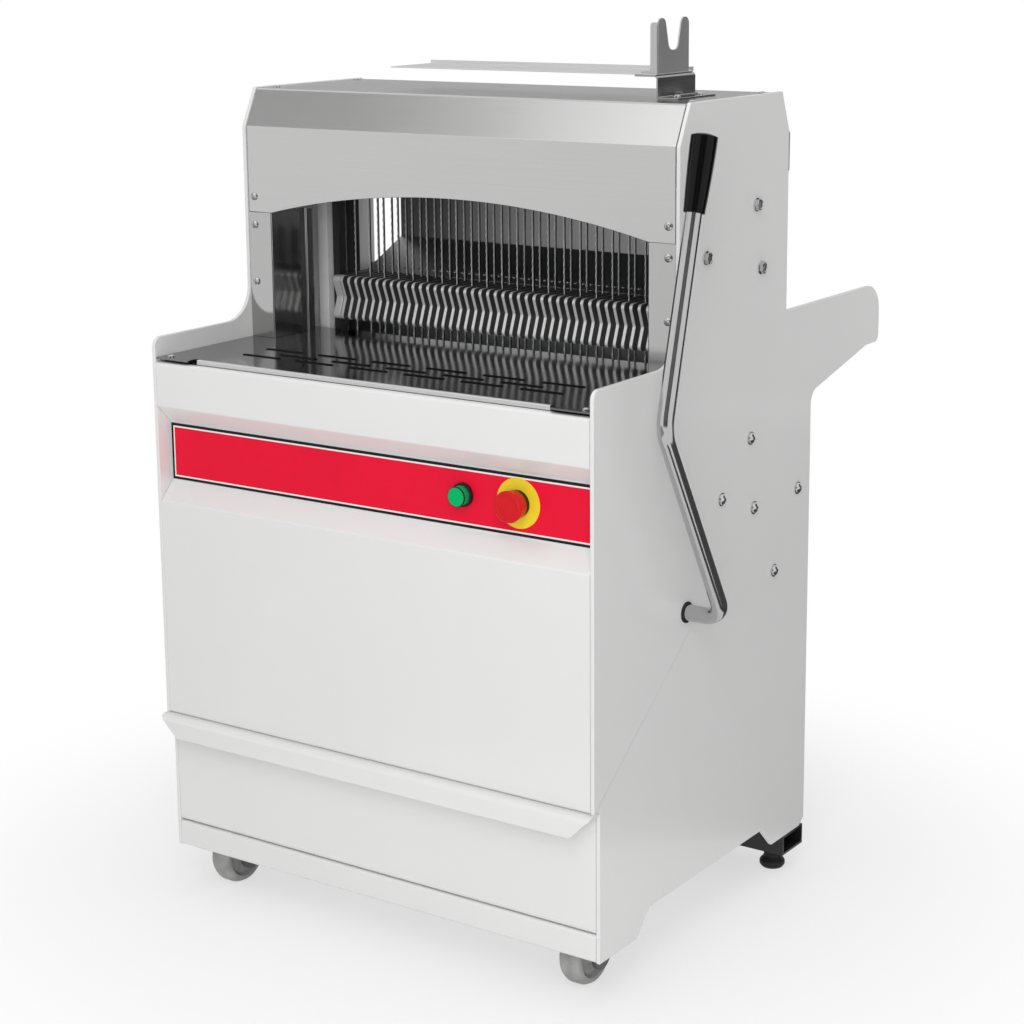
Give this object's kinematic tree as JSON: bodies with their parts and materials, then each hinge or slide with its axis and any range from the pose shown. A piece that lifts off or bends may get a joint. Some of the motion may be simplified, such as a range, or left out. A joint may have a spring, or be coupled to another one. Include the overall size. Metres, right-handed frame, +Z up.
{
  "type": "bread slicer machine",
  "caption": "Free-standing bread slicer: white cabinet on wheels and feet, stainless head, blades in reciprocating frames, lever-driven press comb, crumb drawer, bag holder.",
  "frame": {"origin": "on the floor, in the middle of the overall footprint, 30 mm right of the cabinet's middle plane and 357 mm behind the front panel's face", "axes": "+X to the operator's right, +Y towards the rear, +Z up"},
  "size_m": [0.7326, 0.74, 1.136],
  "materials": {
    "white_paint": "gloss white powder coat",
    "black_paint": "black powder coat",
    "stainless": "brushed stainless sheet",
    "mirror_steel": "bright-rolled stainless sheet",
    "blade_steel": "ground blade steel",
    "bright_steel": "ground bright steel",
    "zinc_steel": "zinc-plated steel",
    "lever_chrome": "polished chrome plate",
    "aluminium": "satin aluminium",
    "cast_iron": "painted casting",
    "black_plastic": "moulded black plastic",
    "grey_plastic": "moulded grey wheel plastic",
    "black_rubber": "moulded rubber",
    "red_foil": "printed control foil, bare",
    "red_plastic": "moulded red plastic",
    "green_plastic": "moulded green plastic",
    "yellow_plastic": "moulded yellow plastic",
    "white_plastic": "pale slide plastic"
  },
  "bodies": {
    "cabinet": {"left_side_panel": "white_paint", "right_side_panel": "white_paint", "front_panel": "white_paint", "control_foil": "red_foil", "skirt": "white_paint", "rear_panel": "white_paint", "cable_gland": "black_plastic", "rear_member": "black_paint", "wheel_brackets": "zinc_steel", "wheel_axles": "zinc_steel", "front_table": "mirror_steel", "table_rails": "zinc_steel", "rear_table": "stainless", "rod_beams": "zinc_steel", "guide_rods": "bright_steel", "columns": "stainless", "head_cover": "stainless", "rear_cover": "black_paint", "guide_posts": "white_plastic", "shaft_bearings": "cast_iron", "tie_bars": "zinc_steel", "drive_belt": "black_rubber", "motor": "aluminium", "motor_shelf": "white_paint", "lever_bushes": "black_plastic", "drawer_runners": "zinc_steel", "start_bezel": "black_plastic", "estop_disc": "yellow_plastic", "estop_collar": "black_plastic", "contact_blocks": "black_plastic", "bag_bracket": "stainless", "bag_tray": "stainless", "bag_fork": "stainless", "side_bolts": "zinc_steel", "cover_screws": "bright_steel"},
    "lever": {"lever_bar": "lever_chrome", "lever_grip": "black_plastic", "lever_shaft": "bright_steel", "lever_arms": "zinc_steel"},
    "press": {"press_comb": "aluminium", "press_bar": "zinc_steel", "press_cover": "mirror_steel", "carriages": "zinc_steel"},
    "crank": {"crankshaft": "bright_steel", "driven_pulley": "cast_iron"},
    "front_frame": {"blade_frame_front": "zinc_steel", "blades_front": "blade_steel"},
    "rear_frame": {"blade_frame_rear": "zinc_steel", "blades_rear": "blade_steel"},
    "motor_rotor": {"motor_shaft": "bright_steel", "motor_pulley": "cast_iron"},
    "start": {"start_button": "green_plastic"},
    "estop_plunger": {"estop_stem": "black_plastic"},
    "estop_mushroom": {"estop_head": "red_plastic"},
    "drawer": {"drawer_front": "white_paint", "drawer_tray": "stainless"},
    "left_wheel": {"wheel_left": "grey_plastic"},
    "right_wheel": {"wheel_right": "grey_plastic"},
    "left_foot": {"foot_left": "black_rubber"},
    "right_foot": {"foot_right": "black_rubber"}
  },
  "joints": [
    {"name": "lever_swing", "type": "hinge", "parent": "cabinet", "child": "lever", "pos_m": [-0.03, -0.149, 0.435], "axis": [-1, 0, 0], "range_deg": [0, 55.1]},
    {"name": "press_slide", "type": "slide", "parent": "cabinet", "child": "press", "axis": [0, 1, 0], "range_m": [0, 0.24]},
    {"name": "crank_turn", "type": "hinge", "parent": "cabinet", "child": "crank", "pos_m": [-0.03, -0.024, 0.543], "axis": [1, 0, 0], "range_deg": [-90, 90]},
    {"name": "front_frame_slide", "type": "slide", "parent": "cabinet", "child": "front_frame", "axis": [0, 0, 1], "range_m": [-0.015, 0.015]},
    {"name": "rear_frame_slide", "type": "slide", "parent": "cabinet", "child": "rear_frame", "axis": [0, 0, 1], "range_m": [-0.015, 0.015]},
    {"name": "motor_turn", "type": "hinge", "parent": "cabinet", "child": "motor_rotor", "pos_m": [-0.145, 0.043, 0.33], "axis": [1, 0, 0], "range_deg": [-224, 224]},
    {"name": "start_push", "type": "slide", "parent": "cabinet", "child": "start", "axis": [0, 1, 0], "range_m": [0, 0.003], "stiffness_N_per_m": 800},
    {"name": "estop_push", "type": "slide", "parent": "cabinet", "child": "estop_plunger", "axis": [0, 1, 0], "range_m": [0, 0.005], "stiffness_N_per_m": 1500},
    {"name": "estop_twist", "type": "hinge", "parent": "estop_plunger", "child": "estop_mushroom", "pos_m": [0.184, -0.357, 0.594], "axis": [0, 1, 0], "range_deg": [0, 30], "stiffness_Nm_per_rad": 0.05},
    {"name": "drawer_slide", "type": "slide", "parent": "cabinet", "child": "drawer", "axis": [0, -1, 0], "range_m": [0, 0.35]},
    {"name": "left_wheel_roll", "type": "hinge", "parent": "cabinet", "child": "left_wheel", "pos_m": [-0.305, -0.29, 0.04], "axis": [1, 0, 0], "continuous": true},
    {"name": "right_wheel_roll", "type": "hinge", "parent": "cabinet", "child": "right_wheel", "pos_m": [0.245, -0.29, 0.04], "axis": [1, 0, 0], "continuous": true},
    {"name": "left_foot_turn", "type": "hinge", "parent": "cabinet", "child": "left_foot", "pos_m": [-0.33, 0.14, 0], "axis": [0, 0, 1], "continuous": true},
    {"name": "right_foot_turn", "type": "hinge", "parent": "cabinet", "child": "right_foot", "pos_m": [0.27, 0.14, 0], "axis": [0, 0, 1], "continuous": true}
  ],
  "couplings": [
    {"joint": "press_slide", "follows": "lever_swing", "m_per_rad": 0.24956},
    {"joint": "front_frame_slide", "follows": "crank_turn", "m_per_rad": 0.0095493},
    {"joint": "rear_frame_slide", "follows": "crank_turn", "m_per_rad": -0.0095493},
    {"joint": "motor_turn", "follows": "crank_turn", "ratio": 2.48}
  ]
}
